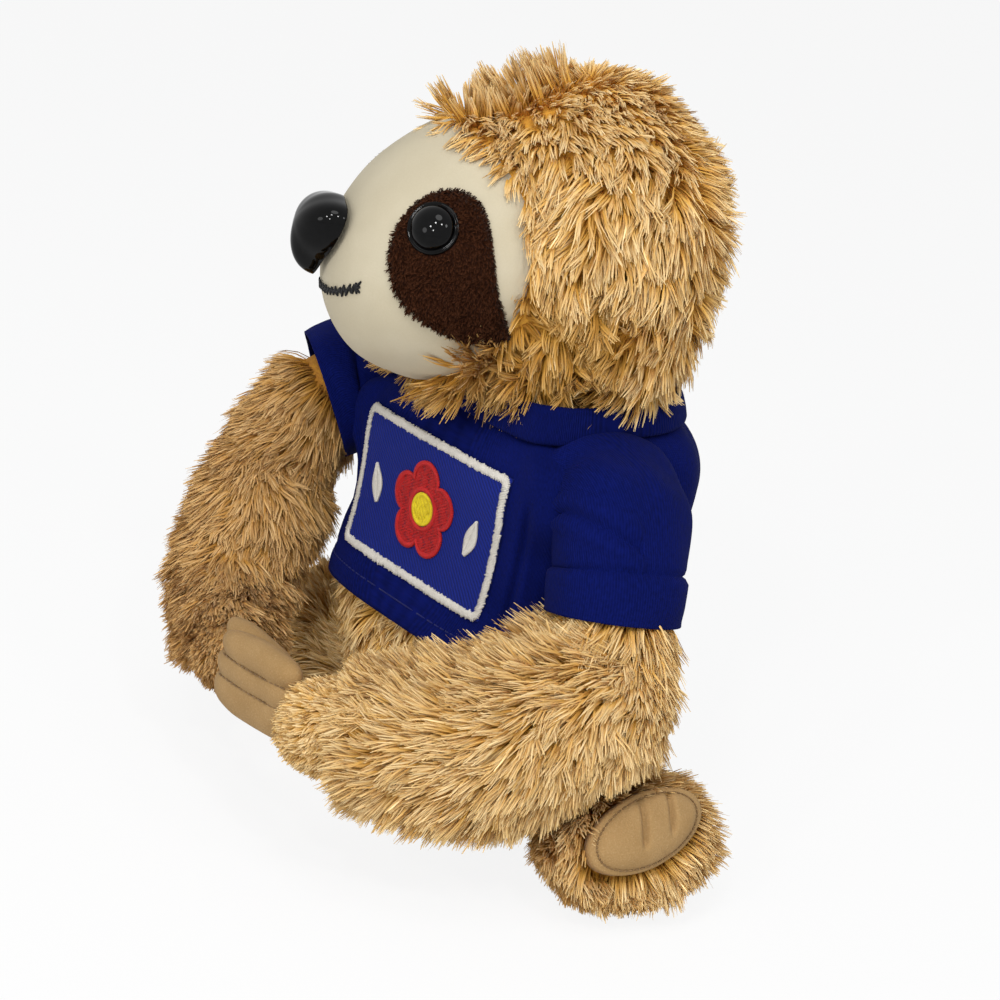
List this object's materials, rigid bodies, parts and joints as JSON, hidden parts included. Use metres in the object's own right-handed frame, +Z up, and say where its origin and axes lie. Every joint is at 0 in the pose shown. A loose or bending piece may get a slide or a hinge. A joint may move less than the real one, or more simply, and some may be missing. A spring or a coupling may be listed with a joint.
{
  "type": "plush sloth",
  "caption": "Long-furred plush sloth sitting with its suede hands held together, in a small knitted T-shirt with an embroidered chest patch.",
  "frame": {"origin": "on the floor under the seat, on the sloth's middle plane", "axes": "+Z up, -Y the way the chest faces, +X the sloth's own left"},
  "size_m": [0.158, 0.1184, 0.1827],
  "materials": {
    "fur": "long brushed pile",
    "face_plush": "short velvety pile",
    "stuffing": "loose polyester fibre",
    "pouch_cloth": "plain cloth bag of pellets",
    "eye_gloss": "polished",
    "washer_plastic": "moulded",
    "eye_patch_plush": "short brushed pile with a zigzag edge",
    "mouth_thread": "stranded thread",
    "shirt_knit": "fine jersey knit",
    "patch_twill": "embroidered ground",
    "thread_white": "satin stitch",
    "thread_red": "satin stitch",
    "thread_yellow": "satin stitch",
    "suede": "short suede nap",
    "hook_tape": "hook side of touch fastener tape",
    "loop_tape": "loop side of touch fastener tape"
  },
  "bodies": {
    "torso": {"body_cover": "fur", "body_stuffing": "stuffing", "bean_pouch": "pouch_cloth", "shirt_body": "shirt_knit", "neck_band": "shirt_knit", "patch_ground": "patch_twill", "patch_border": "thread_white", "patch_flower": "thread_red", "patch_flower_centre": "thread_yellow", "patch_leaf_left": "thread_white", "patch_leaf_right": "thread_white"},
    "neck": {"neck": "fur"},
    "head": {"head_cover": "fur", "face_panel": "face_plush", "head_stuffing": "stuffing", "left_eye": "eye_gloss", "left_eye_washer": "washer_plastic", "left_eye_patch": "eye_patch_plush", "right_eye": "eye_gloss", "right_eye_washer": "washer_plastic", "right_eye_patch": "eye_patch_plush", "nose": "eye_gloss", "nose_washer": "washer_plastic", "mouth_stitch": "mouth_thread"},
    "left_arm": {"left_upper_arm": "fur", "left_sleeve": "shirt_knit"},
    "left_lower_arm": {"left_forearm": "fur", "left_claws": "suede", "hook_pad": "hook_tape"},
    "right_arm": {"right_upper_arm": "fur", "right_sleeve": "shirt_knit"},
    "right_lower_arm": {"right_forearm": "fur", "right_claws": "suede", "loop_pad": "loop_tape"},
    "left_foot": {"left_leg": "fur", "left_sole": "suede"},
    "right_foot": {"right_leg": "fur", "right_sole": "suede"}
  },
  "joints": [
    {"name": "neck_turn", "type": "hinge", "parent": "torso", "child": "neck", "pos_m": [0, 0.0155, 0.106], "axis": [0, 0, 1], "range_deg": [-30, 40]},
    {"name": "head_nod", "type": "hinge", "parent": "neck", "child": "head", "pos_m": [0, 0.0155, 0.106], "axis": [0.927, -0.375, 0], "range_deg": [-4, 4]},
    {"name": "left_shoulder", "type": "hinge", "parent": "torso", "child": "left_arm", "pos_m": [0.043, 0.005, 0.093], "axis": [0, -1, 0], "range_deg": [0, 70]},
    {"name": "right_shoulder", "type": "hinge", "parent": "torso", "child": "right_arm", "pos_m": [-0.043, 0.005, 0.093], "axis": [0, 1, 0], "range_deg": [0, 70]},
    {"name": "left_elbow", "type": "hinge", "parent": "left_arm", "child": "left_lower_arm", "pos_m": [0.057, -0.007, 0.049], "axis": [0, 0, 1], "range_deg": [0, 55]},
    {"name": "right_elbow", "type": "hinge", "parent": "right_arm", "child": "right_lower_arm", "pos_m": [-0.056, -0.025, 0.065], "axis": [0, 1, 0], "range_deg": [0, 35]},
    {"name": "left_hip", "type": "hinge", "parent": "torso", "child": "left_foot", "pos_m": [0.029, 0.006, 0.014], "axis": [0, 0, -1], "range_deg": [-15, 4]},
    {"name": "right_hip", "type": "hinge", "parent": "torso", "child": "right_foot", "pos_m": [-0.029, 0.006, 0.014], "axis": [0, 0, 1], "range_deg": [-15, 12]}
  ]
}
